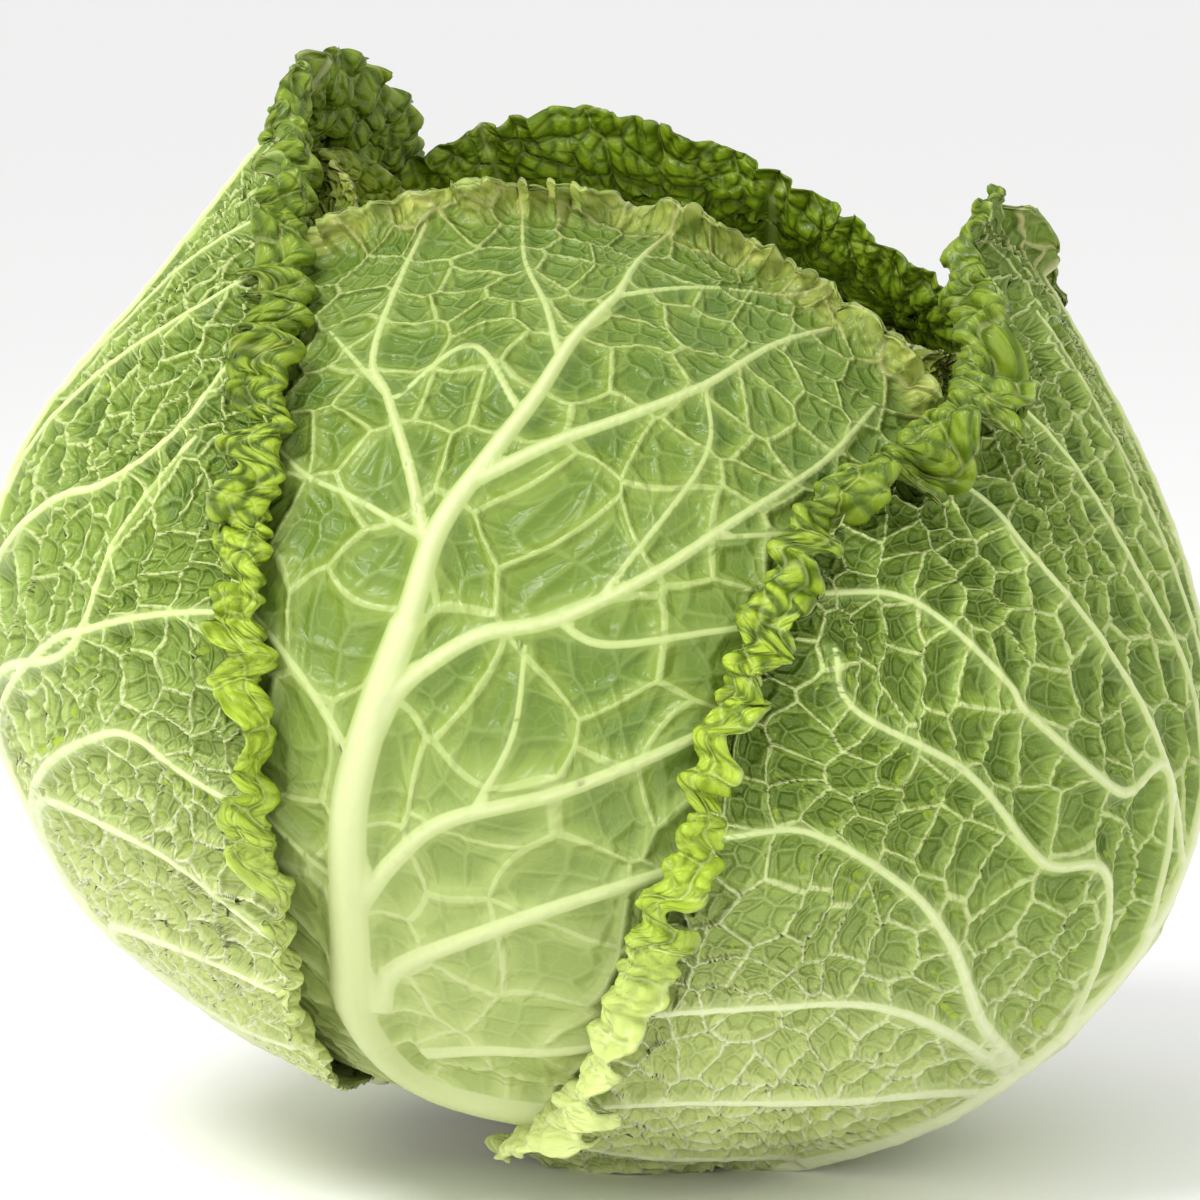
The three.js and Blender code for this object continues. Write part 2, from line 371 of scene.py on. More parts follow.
# %% Bending the rim
FOLD_SHARE = 0.36  # the share of the band that folds over; the rest lies as a flap
FOLD_UNEVEN = 0.25  # how much the fold's turn changes along the rim
ROLL_MM = 2.6  # how much of the very edge rolls up tightly
FRILL_MM = 11.0  # how far in from the edge the waves reach
FRILL_SHAPE = 1.2
LOBE_DRIFT = 2.2  # how far, in radians, the waves stray from even spacing
LOBE_SLANT = 0.8
WAVE_LEAST = 0.35  # the weakest and the strongest wave, as shares of the leaf's own
WAVE_MOST = 1.8
SMALL_WAVE = 0.55  # the small waves' length, as a share of the large ones'
SLIDE = 0.035  # how far a wave also moves along the rim, as a share of its length


def round_leaf(leaf, key, turn):
    """One of the leaf's rings of values, read at turns (radians) from its tip."""
    return ring_value(leaf[key], turn / (2 * math.pi))


def rim_frame(leaf, turn, reach, band, depth, base):
    """Unit directions at the rim: ahead across the edge, outwards, and along the edge."""
    ends = []
    for far in (reach, reach - band / ARC_MM):
        ways = blade_ways(leaf["middle"], far * np.sin(turn), far * np.cos(turn))
        ends.append(head_point(ways, depth))
    toward = unit(ends[0] - ends[1])
    out = unit(base)
    out = unit(out - toward * np.sum(out * toward, axis=1)[:, None])
    return toward, out, np.cross(toward, out)


def rim_bend(leaf, disc, turn, reach, base, depth):
    """Moves blade points outwards in the rim's band. Returns the points, their normals and how
    far each lies across the band."""
    band, free = round_leaf(leaf, "band", turn), rim_freedom(leaf, turn)
    toward, out, along = rim_frame(leaf, turn, reach, band, depth, base)
    into = np.clip(band - (1 - disc) * reach * ARC_MM, 0, None)
    share = into / band
    path = rim_path(leaf, turn)
    wave, seed = leaf["wave"], leaf["seed"]

    def drift(length, number):
        return wobble(path, path * 0, wave * length, seed + number)

    lobes = 2 * math.pi * path / wave + LOBE_DRIFT * drift(2.9, 0)
    lobes = lobes + LOBE_SLANT * wobble(path, into, wave * 1.1, seed + 6) * share
    strength = np.clip(1 + 0.6 * drift(2.1, 8), WAVE_LEAST, WAVE_MOST)
    # The fold, and the flap beyond it.
    narrow = np.clip(FRILL_MM / band, 0, 1)**2
    turned = 1 + FOLD_UNEVEN * drift(2.6, 2)
    turned = turned * (1 + leaf["uneven"] * narrow * np.sin(lobes))
    fold_mm = FOLD_SHARE * band
    fold_into = np.minimum(into, fold_mm)
    first = round_leaf(leaf, "curl", turn) * free * turned * fold_into / fold_mm
    ahead, risen = arc_step(fold_into, first)
    flap_into = np.clip(into - fold_mm, 0, band - ROLL_MM - fold_mm)
    ahead = ahead + flap_into * np.cos(first)
    risen = risen + flap_into * np.sin(first)
    # The roll at the very edge.
    roll_into = np.clip(into - band + ROLL_MM, 0, None)
    roll = leaf["roll"] * free * np.clip(1 + 0.8 * drift(0.9, 4), 0, 2) * roll_into / ROLL_MM
    more_ahead, more_risen = arc_step(roll_into, roll)
    ahead = ahead + more_ahead * np.cos(first) - more_risen * np.sin(first)
    risen = risen + more_ahead * np.sin(first) + more_risen * np.cos(first)
    bend = first + roll
    moved = base + toward * (ahead - into)[:, None] + out * risen[:, None]
    normal = out * np.cos(bend)[:, None] - toward * np.sin(bend)[:, None]
    # The waves.
    frill_share = np.clip(1 - (band - into) / np.minimum(band, FRILL_MM), 0, 1)
    height = round_leaf(leaf, "ruffle", turn) * strength * frill_share**FRILL_SHAPE * free
    small = 2 * math.pi * path / (wave * SMALL_WAVE) + 2.4 * drift(1.3, 5)
    lift = height * (np.sin(lobes + 1.2 + 0.7 * share) + 0.15 * share * np.sin(small))
    lift_way = out * np.cos(first)[:, None] - toward * np.sin(first)[:, None]
    slide = SLIDE * wave * frill_share * free * strength * np.sin(2 * lobes + 0.6)
    moved = moved + lift_way * lift[:, None] + along * slide[:, None]
    normal = np.where((share > 0)[:, None], normal, unit(base))
    return moved, normal, share


def rim_freedom(leaf, turn):
    """1 where the rim is free to frill, 0 where the leaf is held at its stem."""
    return np.clip(round_leaf(leaf, "free", turn), 0, 1)


def arc_step(length, bend):
    """How far ahead and how high an arc ends that turns through a bend over its length."""
    bend = np.maximum(bend, 1e-3)
    return length / bend * np.sin(bend), length / bend * (1 - np.cos(bend))


def rim_path(leaf, turn):
    """How far along the rim each place lies, in mm."""
    steps = np.linspace(-math.pi, math.pi, 361)
    reach = ring_value(leaf["reach"], steps / (2 * math.pi)) * ARC_MM
    ring = np.column_stack([reach * np.sin(steps), reach * np.cos(steps)])
    gaps = np.linalg.norm(np.diff(ring, axis=0), axis=1)
    return np.interp(turn, steps, np.concatenate([[0], np.cumsum(gaps)]))


# %% [markdown]
# ## The leaf's mesh
# A leaf is a double sheet. Its middle needs points about a millimetre and a half apart, but
# the frill at its rim needs them closer, so a plain grid won't do. The outer face is a square
# grid pulled into a disc, then rings with twice as many points round it. The inner face has the
# same rings and a coarser grid, because nobody sees its middle. Each square is cut along the
# corner line that follows a vein.

# %% Points and triangles of a leaf
RIM_FROM = 0.85  # where the rings begin, as a share of the way to the rim
RING_CROWD = 0.35  # how much closer the rings lie at the very edge
TURN_CROWD = 0.35  # how much closer points lie on the side that shows its frill


def leaf_points(cells, rings, dense_at):
    """Share of the way to the rim and turn from the tip, for the outer face, with its tables."""
    line = np.linspace(-1, 1, cells + 1)
    s, t = np.meshgrid(line, line)
    x, y = (s * np.sqrt(1 - t * t / 2)).ravel(), (t * np.sqrt(1 - s * s / 2)).ravel()
    grid = np.arange(x.size).reshape(s.shape)
    border = np.concatenate([grid[0, :-1], grid[:-1, -1], grid[-1, :0:-1], grid[:0:-1, 0]])
    border_turn = np.unwrap(np.arctan2(x[border], y[border]))
    following = np.append(border_turn[1:], border_turn[0] - 2 * math.pi)
    ring_turn = np.column_stack([border_turn, (border_turn + following) / 2]).ravel()
    step = np.arange(1, rings + 1) / rings
    ring_disc = RIM_FROM + (1 - RIM_FROM) * step * (1 + RING_CROWD - RING_CROWD * step)
    disc = np.concatenate([np.hypot(x, y) * RIM_FROM, np.repeat(ring_disc, ring_turn.size)])
    turn = np.concatenate([np.arctan2(x, y), np.tile(ring_turn, rings)])
    turn = turn - TURN_CROWD * np.sin(turn - math.radians(dense_at))
    ring = x.size + np.arange(rings * ring_turn.size).reshape(rings, -1)
    return disc, turn, grid, border, ring


def cut_squares(a, b, c, d, rib):
    """Two triangles for each square, cut along the corners that lie deeper inside a vein."""
    a, b, c, d = (v.ravel() for v in (a, b, c, d))
    straight = rib[a] + rib[c] >= rib[b] + rib[d]
    first = np.stack([a, b, np.where(straight, c, d)], axis=1)
    second = np.stack([np.where(straight, a, b), c, d], axis=1)
    return np.vstack([first, second])


def grid_squares(grid):
    """The four corners of every square of a grid of point numbers."""
    return grid[:-1, :-1], grid[:-1, 1:], grid[1:, 1:], grid[1:, :-1]


def leaf_triangles(grid, border, ring, rib):
    """Triangles of a closed leaf, the outer point over each inner point, and the number of
    triangles before the strip that joins the two faces."""
    after = np.roll(ring, -1, axis=1)
    band = cut_squares(ring[:-1], ring[1:], after[1:], after[:-1], rib)
    first, last, even, odd = border, np.roll(border, -1), ring[0, ::2], ring[0, 1::2]
    joint = [(first, even, odd), (first, odd, last), (last, odd, np.roll(even, -1))]
    joint = np.vstack([np.column_stack(corners) for corners in joint])
    outer = np.vstack([cut_squares(*grid_squares(grid), rib), joint, band])
    coarse = grid[::2, ::2]
    first, last = border[::2], np.roll(border[::2], -1)
    r0, r1, r2, r3 = (ring[0, k::4] for k in range(4))
    fan = [(first, r0, r1), (first, r1, r2), (first, r2, last), (last, r2, r3),
           (last, r3, np.roll(r0, -1))]
    fan = np.vstack([np.column_stack(corners) for corners in fan])
    inner = np.vstack([cut_squares(*grid_squares(coarse), rib), fan, band])[:, ::-1]
    source = np.concatenate([coarse.ravel(), ring.ravel()])
    count = grid.size + ring.size
    below = np.zeros(count, dtype=int)
    below[source] = count + np.arange(source.size)
    edge, edge_after = ring[-1], after[-1]
    strip = np.vstack([np.column_stack([edge_after, edge, below[edge]]),
                       np.column_stack([edge_after, below[edge], below[edge_after]])])
    faces = np.vstack([outer, below[inner], strip])
    return faces, source, len(faces) - len(strip)


# %% [markdown]
# ## The leaf itself
# Every point moves to its place: the disc is pulled out to the leaf's outline, and the outline
# over the head. The blade sinks between the veins, seen from outside, and the ribs thicken
# only the outer face, as on the real leaf.

# %% Growing one leaf
BLADE_MM = 0.7
SWELL_MM = 0.5  # slow ups and downs of the whole blade, and their length
SWELL_LENGTH = 62.0
FLARE_FROM = 0.5  # a flared leaf leaves the head between these shares of the way to its rim
FLARE_TO = 1.05
RIB_SHARE = 0.85  # a rib's height as a share of its half width
RIB_ROUND = 2.6
FAR_FROM_RIB = -8.0
TIP_FROM = -70.0  # the blade's base and tip, in degrees of arc, for the colours
TIP_TO = 60.0


def set_attribute(mesh, name, values, kind="FLOAT"):
    attribute = mesh.attributes.new(name, kind, "POINT")
    field = "vector" if kind == "FLOAT_VECTOR" else "value"
    attribute.data.foreach_set(field, np.ascontiguousarray(values, dtype=np.float32).ravel())


def set_skin_values(mesh, net_x, net_y, rib, rim, dome, tip, under):
    """What the skin's material reads at each point. under is 1 on the inner face."""
    set_attribute(mesh, "net", np.column_stack([net_x, net_y, net_x * 0]), "FLOAT_VECTOR")
    set_attribute(mesh, "rib", np.maximum(rib, FAR_FROM_RIB))
    for name, values in (("rim", rim), ("dome", dome), ("tip", tip), ("under", under)):
        set_attribute(mesh, name, values)


def rib_ridge(rib, rib_width, share):
    """How high a rib stands: round on top and fading out past its edge."""
    return np.exp(-((rib_width - rib) / rib_width)**RIB_ROUND) * rib_width * share


def grow_leaf(leaf):
    cells, rings = (n for n in leaf["mesh"])
    disc, turn, grid, border, ring = leaf_points(cells, rings, leaf["dense_at"])
    rim = leaf_reach(leaf, turn)
    x_mm, y_mm = disc * rim * np.sin(turn) * ARC_MM, disc * rim * np.cos(turn) * ARC_MM
    step = grid_steps(x_mm, y_mm, (grid, ring))
    x_mm, y_mm, rib, rib_width = meet_veins(x_mm, y_mm, leaf["veins"], step)
    x, y = x_mm / ARC_MM, y_mm / ARC_MM
    turn = np.arctan2(x, y)
    rim = leaf_reach(leaf, turn)
    disc = np.minimum(np.hypot(x, y) / rim, 1.0)
    flare = round_leaf(leaf, "flare", turn) * smoothstep(disc, FLARE_FROM, FLARE_TO)**1.5
    swell = SWELL_MM * wobble(x_mm, y_mm, SWELL_LENGTH, leaf["seed"] + 1)
    depth = leaf["depth"] + swell - flare
    base = head_point(blade_ways(leaf["middle"], x, y), depth)
    place, normal, rim_share = rim_bend(leaf, disc, turn, rim, base, depth)
    net_x, net_y = net_places(leaf, x_mm, y_mm, disc)
    relief, dome = leaf_relief(leaf, net_x, net_y, rib, y, rim_share, turn, disc * rim * ARC_MM)
    outer = place - normal * (relief - rib_ridge(rib, rib_width, RIB_SHARE))[:, None]
    faces, source, joined = leaf_triangles(grid, border, ring, rib)
    inner = (place - normal * (relief + BLADE_MM)[:, None])[source]
    points = np.vstack([outer, inner]) + HEAD_MIDDLE
    lowest = np.repeat((0.0, BLADE_MM), (len(outer), len(inner)))
    points[:, 2] = np.maximum(points[:, 2], lowest)
    mesh = bpy.data.meshes.new(leaf["name"])
    mesh.from_pydata((points * MM).tolist(), [], faces.tolist())
    piece = bpy.data.objects.new(leaf["name"], mesh)
    bpy.context.scene.collection.objects.link(piece)
    twice = np.concatenate([np.arange(len(outer)), source])
    set_skin_values(mesh, net_x[twice], net_y[twice], rib[twice], disc[twice], dome[twice],
                    smoothstep(y, TIP_FROM, TIP_TO)[twice], np.arange(len(points)) >= len(outer))
    pack_uv(mesh, disc, turn, faces, source, joined)
    mesh.shade_smooth()
    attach(piece, "root")
    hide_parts(leaf["name"])
    print(leaf["name"], "triangles", len(faces))
    return piece


TEAR_LENGTH = 11.0
BLISTER_MM = 4.8
BLISTER_SHIFT = 300.0
BLISTER_SPREAD = 0.45  # how far from its edge, in grid squares, a dome reaches its full height
FINE_SPREAD = 0.42
NEAR_RIB_MM = 2.8  # the blade is calm this close to a rib
CALM_BASE = (44, 66)  # and towards the stem, over these degrees below the middle


def leaf_reach(leaf, turn):
    """How far the blade reaches at each turn, in degrees of arc, with a slightly torn outline."""
    path = rim_path(leaf, turn)
    torn = leaf["ragged"] * wobble(path, path * 0, TEAR_LENGTH, leaf["seed"] + 3)
    return round_leaf(leaf, "reach", turn) + torn


def fine_distance(net_x, net_y):
    return net_distance(net_x * FINE_NET + FINE_SHIFT, net_y * FINE_NET + FINE_SHIFT, NET_EVENNESS)


def leaf_relief(leaf, net_x, net_y, rib, y, rim_share, turn, radial_mm):
    """How far (mm) the blade sinks between its veins, less the average, and the domes alone."""
    coarse = net_distance(net_x, net_y, NET_EVENNESS)
    path = rim_path(leaf, turn)
    blister = net_distance(path / BLISTER_MM + BLISTER_SHIFT, radial_mm / BLISTER_MM, NET_EVENNESS)
    blister = pillow(blister, BLISTER_SPREAD)
    near_rim = smoothstep(rim_share, 0.0, 0.35) * (0.2 + 0.8 * rim_freedom(leaf, turn))
    calm = 0.08 + 0.92 * smoothstep(-rib, 0.1, NEAR_RIB_MM)
    calm *= 1 - 0.7 * smoothstep(-y, *CALM_BASE)
    deep = leaf["puff"] * pillow(coarse, leaf["crest"]) * (1 - 0.7 * near_rim) * calm
    domes = pillow(fine_distance(net_x, net_y), FINE_SPREAD)
    shallow = leaf["fine_puff"] * domes * calm * (1 - near_rim)
    relief = deep - 0.6 * leaf["puff"] + shallow + leaf["blister"] * blister * near_rim
    return relief, domes + (blister - domes) * near_rim


def pillow(distance, spread):
    """0 on a vein, rising to 1 at a distance from it: a dome with a sharp crease round it."""
    return 1 - (1 - np.clip(distance / spread, 0, 1))**2


NET_BEND_MM = 2.2
NET_BEND_LENGTH = 34.0
NET_START = 40  # keeps the net's coordinates above zero


def net_places(leaf, x, y, disc):
    """The net's own coordinates: squares of the leaf's cell size, smaller near the rim."""
    closer = 1 + leaf["rim_net"] * smoothstep(disc, 0.35, 1.0) * 0.5
    bent_x = x + NET_BEND_MM * wobble(x, y, NET_BEND_LENGTH, leaf["seed"] + 11)
    bent_y = y + NET_BEND_MM * wobble(x, y, NET_BEND_LENGTH, leaf["seed"] + 12)
    return bent_x * closer / leaf["cell"] + NET_START, bent_y * closer / leaf["cell"] + NET_START


OUTER_UV = ((0.31, 0.295), (0.5, 0.48))  # middle and half size of each part, across and up
STRIP_UV = ((0.31, 0.3), (0.5, 0.49))
UNDER_UV = ((0.81, 0.17), (0.5, 0.48))
UV_NAME = "OFBake"


def pack_uv(mesh, disc, turn, faces, source, joined):
    """Lays the outer and inner faces side by side, with the strip round the outer face."""
    strip = faces[joined:]
    behind = source[np.maximum(strip - len(disc), 0)]
    corners = []
    for axis, part in enumerate((disc * np.sin(turn), disc * np.cos(turn))):
        outer, under, edge = (middle + half * part for middle, half in
                              (OUTER_UV[axis], UNDER_UV[axis], STRIP_UV[axis]))
        corner = np.concatenate([outer, under[source]])[faces]
        corner[joined:] = np.where(strip >= len(disc), edge[behind], corner[joined:])
        corners.append(corner)
    layer = mesh.uv_layers.new(name=UV_NAME)
    layer.data.foreach_set("uv", np.stack(corners, axis=-1).ravel().astype(np.float32))


# %% [markdown]
# ## Colour and surface of a leaf
# One node group makes every leaf's skin from the same parts: the blade's green, paler near
# the stem, the net of light veins, the cream ribs and the waxy relief. The dark upper face
# shows where a rim rolls over. Each leaf's material gives the group its own greens.

# %% Node helpers
def linear(red, green, blue):
    """A colour as mixed on screen, 0 to 255, in the linear values that shaders take."""
    parts = [part / 255 for part in (red, green, blue)]
    return [p / 12.92 if p <= 0.04045 else ((p + 0.055) / 1.055) ** 2.4 for p in parts] + [1.0]


LIGHT_LEVEL = 1.25  # how much brighter than its own colour this light shows a white thing


def reflected(red, green, blue):
    """The colour a skin needs to look as mixed on screen under this scene's light."""
    return [part / LIGHT_LEVEL for part in linear(red, green, blue)[:3]] + [1.0]


class Nodes:
    """Short ways to add nodes to one tree."""

    def __init__(self, tree):
        self.tree = tree

    def add(self, kind, **settings):
        node = self.tree.nodes.new(kind)
        for key, value in settings.items():
            setattr(node, key, value)
        return node

    def put(self, socket, value):
        if isinstance(value, bpy.types.NodeSocket):
            self.tree.links.new(value, socket)
        else:
            socket.default_value = value

    def math(self, operation, a, b):
        node = self.add("ShaderNodeMath", operation=operation)
        self.put(node.inputs[0], a)
        self.put(node.inputs[1], b)
        return node.outputs[0]

    def times(self, a, b):
        return self.math("MULTIPLY", a, b)

    def plus(self, a, b):
        return self.math("ADD", a, b)

    def most(self, a, b):
        return self.math("MAXIMUM", a, b)

    def ramp(self, value, low, high, start=0.0, end=1.0):
        node = self.add("ShaderNodeMapRange", interpolation_type="SMOOTHSTEP")
        for index, item in enumerate((value, low, high, start, end)):
            self.put(node.inputs[index], item)
        return node.outputs[0]

    def mix(self, share, a, b):
        node = self.add("ShaderNodeMix", data_type="RGBA")
        for index, item in ((0, share), (6, a), (7, b)):
            self.put(node.inputs[index], item)
        return node.outputs[2]

    def attribute(self, name, output="Fac"):
        return self.add("ShaderNodeAttribute", attribute_name=name).outputs[output]

    def net(self, vector, scale, shift=0.0):
        moved = self.add("ShaderNodeVectorMath", operation="MULTIPLY_ADD")
        self.put(moved.inputs[0], vector)
        self.put(moved.inputs[1], (scale, scale, scale))
        self.put(moved.inputs[2], (shift, shift, 0.0))
        node = self.add("ShaderNodeTexVoronoi", voronoi_dimensions="2D",
                        feature="DISTANCE_TO_EDGE")
        self.put(node.inputs["Vector"], moved.outputs[0])
        node.inputs["Scale"].default_value = 1.0
        node.inputs["Randomness"].default_value = NET_EVENNESS
        return node.outputs["Distance"]

    def noise(self, vector, scale, detail=3.0):
        node = self.add("ShaderNodeTexNoise")
        self.put(node.inputs["Vector"], vector)
        node.inputs["Scale"].default_value = scale
        node.inputs["Detail"].default_value = detail
        return node.outputs[0]

    def bump(self, height, strength, distance_mm):
        node = self.add("ShaderNodeBump")
        node.inputs["Strength"].default_value = strength
        node.inputs["Distance"].default_value = distance_mm * MM
        self.put(node.inputs["Height"], height)
        return node.outputs[0]


# %% [markdown]
# ## The leaf's skin
# The group reads what each point of the mesh knows: its place on the vein net, how deep it
# lies in a rib, how near it is to the rim and the tip, and on which face. The blade's greens
# come first, then the veins over them, from the finest threads to the ribs, and last the
# relief that is too fine for the mesh.

# %% The leaf skin group
SKIN_COLOURS = (
    "Blade Light", "Blade Dark", "Base Pale", "Vein", "Rib", "Upper Light", "Upper Dark", "Margin",
)
SKIN_AMOUNTS = ("Vein Strength", "Fine Strength", "Relief")
BROWNED_VEIN = (158, 138, 84)
SKIN_BUMP_MM = 0.9


class LeafNodes(Nodes):
    """The nodes of the skin group, with the values that its parts share."""

    def __init__(self, tree):
        super().__init__(tree)
        self.given = self.add("NodeGroupInput").outputs
        self.place = self.attribute("net", "Vector")
        self.rib, self.under = self.attribute("rib"), self.attribute("under")
        self.rim, self.tip = self.attribute("rim"), self.attribute("tip")
        self.dome = self.attribute("dome")
        self.coarse = self.net(self.place, 1.0)
        self.fine = self.net(self.place, FINE_NET, FINE_SHIFT)
        self.finest = self.net(self.place, FINEST_NET, FINEST_SHIFT)
        self.low = self.ramp(self.tip, 0.65, 0.1, 0.0, 0.9)


def blade_colour(n):
    """Light beside the veins and dark in the middle of each sunken cell, partly the blade's own
    green and partly painted shade in the hollows; darker near the rim towards the tip, partly its
    own green and partly painted shade; painted shade in the creases between the rim's blisters;
    pale at the stem, and yellowed at the tip's own margin."""
    given = n.given
    patches = n.ramp(n.noise(n.place, 0.35), 0.3, 0.7, 0.5, 1.0)
    # Darker in the middle of each cell: partly the blade's own deeper green, partly painted shade
    # in the sunken hollows between the raised veins.
    deep = n.times(n.ramp(n.coarse, 0.02, 0.26), patches)
    deep = n.times(deep, n.ramp(n.tip, 0.15, 0.75, 0.35, 1.0))
    # Painted shade near the rim towards the tip, laid over the leaf's own darker green there.
    shaded = n.times(n.ramp(n.rim, 0.6, 0.92), n.ramp(n.tip, 0.3, 0.8, 0.0, 0.65))
    blade = n.mix(n.most(deep, shaded), given["Blade Light"], given["Blade Dark"])
    pale = n.times(n.low, n.ramp(n.coarse, 0.0, 0.3, 1.0, 0.62))
    blade = n.mix(pale, blade, given["Base Pale"])
    margin = n.times(n.ramp(n.rim, 0.92, 1.0), n.ramp(n.tip, 0.6, 0.9, 0.0, 0.9))
    margin = n.times(margin, n.ramp(n.noise(n.place, 1.6), 0.35, 0.65, 0.35, 1.0))
    blade = n.mix(margin, blade, given["Margin"])
    # Painted shade: the creases between the blisters near the rim take the blade's dark green.
    crease = n.times(n.ramp(n.rim, 0.88, 0.95), n.ramp(n.dome, 0.0, 0.6, 0.5, 0.0))
    return n.mix(crease, blade, given["Blade Dark"])


def upper_colour(n):
    """The inner face: blisters with painted light on their tops and painted shade in the creases
    between them, darker towards the tip and paler towards the stem.
    """
    given = n.given
    # Painted light and shade: the dome tops take the light green and the creases between them the
    # dark green.
    upper = n.mix(n.ramp(n.dome, 0.2, 0.9), given["Upper Dark"], given["Upper Light"])
    upper = n.mix(n.ramp(n.tip, 0.75, 0.97, 0.0, 0.6), upper, given["Upper Dark"])
    upper = n.mix(n.ramp(n.tip, 0.85, 0.5, 0.0, 0.65), upper, given["Upper Light"])
    return n.mix(n.ramp(n.tip, 0.45, 0.1, 0.0, 0.8), upper, given["Base Pale"])


def vein_cover(n):
    """How much the net of veins covers the blade, with a soft halo along its lines."""
    weak = n.times(n.ramp(n.finest, 0.12, 0.02), n.times(n.given["Fine Strength"], 0.4))
    fine_line = n.times(n.ramp(n.fine, 0.075, 0.02), n.given["Fine Strength"])
    thinned = n.times(n.coarse, n.ramp(n.noise(n.place, 0.9), 0.3, 0.7, 0.75, 1.7))
    line = n.times(n.ramp(thinned, 0.056, 0.028), n.given["Vein Strength"])
    halo = n.times(n.ramp(n.coarse, 0.15, 0.03), 0.1)
    veins = n.most(n.most(weak, fine_line), n.most(line, halo))
    return n.times(veins, n.ramp(n.under, 0.2, 0.8, 1.0, 0.3))


def fine_relief(n, grain):
    """Raised lines of the net, calm on the ribs and at the base, and turned in on the inner
    face."""
    crest = n.times(n.ramp(n.coarse, 0.12, 0.0), 0.8)
    crest = n.plus(crest, n.times(n.ramp(n.fine, 0.26, 0.0), 0.62))
    crest = n.plus(crest, n.times(n.ramp(n.finest, 0.2, 0.0), 0.08))
    crest = n.times(crest, n.ramp(n.rib, -1.2, 0.2, 1.0, 0.1))
    crest = n.times(crest, n.ramp(n.tip, 0.05, 0.45, 0.4, 1.0))
    crest = n.times(n.plus(crest, n.times(grain, 0.10)), n.given["Relief"])
    return n.times(crest, n.ramp(n.under, 0.2, 0.8, 1.0, -0.6))


def make_skin_group():
    """The whole skin: blade, net, the pale line along the very edge, and ribs over them all."""
    tree = bpy.data.node_groups.new("savoy_leaf_skin", "ShaderNodeTree")
    sockets = [(name, "INPUT", "Color") for name in SKIN_COLOURS]
    sockets += [(name, "INPUT", "Float") for name in SKIN_AMOUNTS]
    sockets += [("Color", "OUTPUT", "Color"), ("Roughness", "OUTPUT", "Float"),
                ("Normal", "OUTPUT", "Vector")]
    for name, in_out, kind in sockets:
        tree.interface.new_socket(name=name, in_out=in_out, socket_type="NodeSocket" + kind)
    n = LeafNodes(tree)
    skin = n.mix(n.under, blade_colour(n), upper_colour(n))
    browned = n.times(n.ramp(n.rim, 0.84, 0.97), n.ramp(n.tip, 0.8, 0.97, 0.0, 0.5))
    vein_colour = n.mix(browned, n.mix(n.low, n.given["Vein"], n.given["Rib"]),
                        reflected(*BROWNED_VEIN))
    skin = n.mix(vein_cover(n), skin, vein_colour)
    skin = n.mix(n.ramp(n.rim, 0.991, 0.9995, 0.0, 0.4), skin, n.given["Vein"])
    rib_show = n.most(n.ramp(n.rib, -0.2, 0.3), n.ramp(n.rib, -2.5, 0.0, 0.0, 0.12))
    rib_show = n.times(rib_show, n.ramp(n.under, 0.2, 0.8, 1.0, 0.4))
    skin = n.mix(rib_show, skin, n.mix(n.ramp(n.rib, 0.1, 1.7), vein_colour, n.given["Rib"]))
    grain = n.noise(n.place, 9.0, 5.0)
    waxy = n.ramp(grain, 0.3, 0.7, 0.28, 0.44)
    result = n.add("NodeGroupOutput").inputs
    n.put(result["Color"], skin)
    n.put(result["Roughness"], n.plus(waxy, n.times(rib_show, 0.08)))
    n.put(result["Normal"], n.bump(fine_relief(n, grain), 1.0, SKIN_BUMP_MM))
    return tree


SKIN = make_skin_group()


def plain_material(name):
    """A new material, its tree and its Principled shader's sockets."""
    material = bpy.data.materials.new(name)
    material.use_nodes = True
    tree = material.node_tree
    return material, tree, tree.nodes["Principled BSDF"].inputs


def leaf_material(name, colours, amounts):
    """A leaf's own skin, from its colours as mixed on screen and its three amounts."""
    material, tree, shader = plain_material(name)
    n = Nodes(tree)
    skin = n.add("ShaderNodeGroup", node_tree=SKIN)
    for key, colour in zip(SKIN_COLOURS, colours):
        skin.inputs[key].default_value = reflected(*colour)
    for key, amount in zip(SKIN_AMOUNTS, amounts):
        skin.inputs[key].default_value = amount
    n.put(shader["Base Color"], skin.outputs["Color"])
    n.put(shader["Roughness"], skin.outputs["Roughness"])
    n.put(shader["Normal"], skin.outputs["Normal"])
    shader["Specular IOR Level"].default_value = 0.3
    return material


# %% [markdown]
# ## Camera and light
# The camera comes early. It stands a little above the head's middle with a long lens. The light
# is a bright, even tent: white all round, with a panel above at the left, weaker ones low at the
# left and at the right, and a pale floor that throws light back up.

# %% Camera, floor and lights
VIEW_DISTANCE = 1150.0
VIEW_RISE = math.radians(7)
FRAME_MM = 220.2  # what the picture's width shows at the head's middle
AIM_ABOVE = 13.2
FILM_MM = 36.0
NEAREST = 0.05  # metres in front of the lens where the view starts
WHITE = (1.0, 1.0, 1.0, 1.0)
TENT_STRENGTH = 0.9
FLOOR_SIZE = 40.0
FLOOR_COLOUR = (0.97, 0.97, 0.965, 1.0)
PANELS = (  # name, place and width in metres, watts
    ("panel_top_left", (-0.55, -0.55, 1.0), 0.5, 10.0),
    ("panel_front_right", (0.8, -0.9, 0.5), 0.9, 2.0),
    ("panel_low_left", (-0.7, -1.0, 0.08), 0.9, 5.0),
)


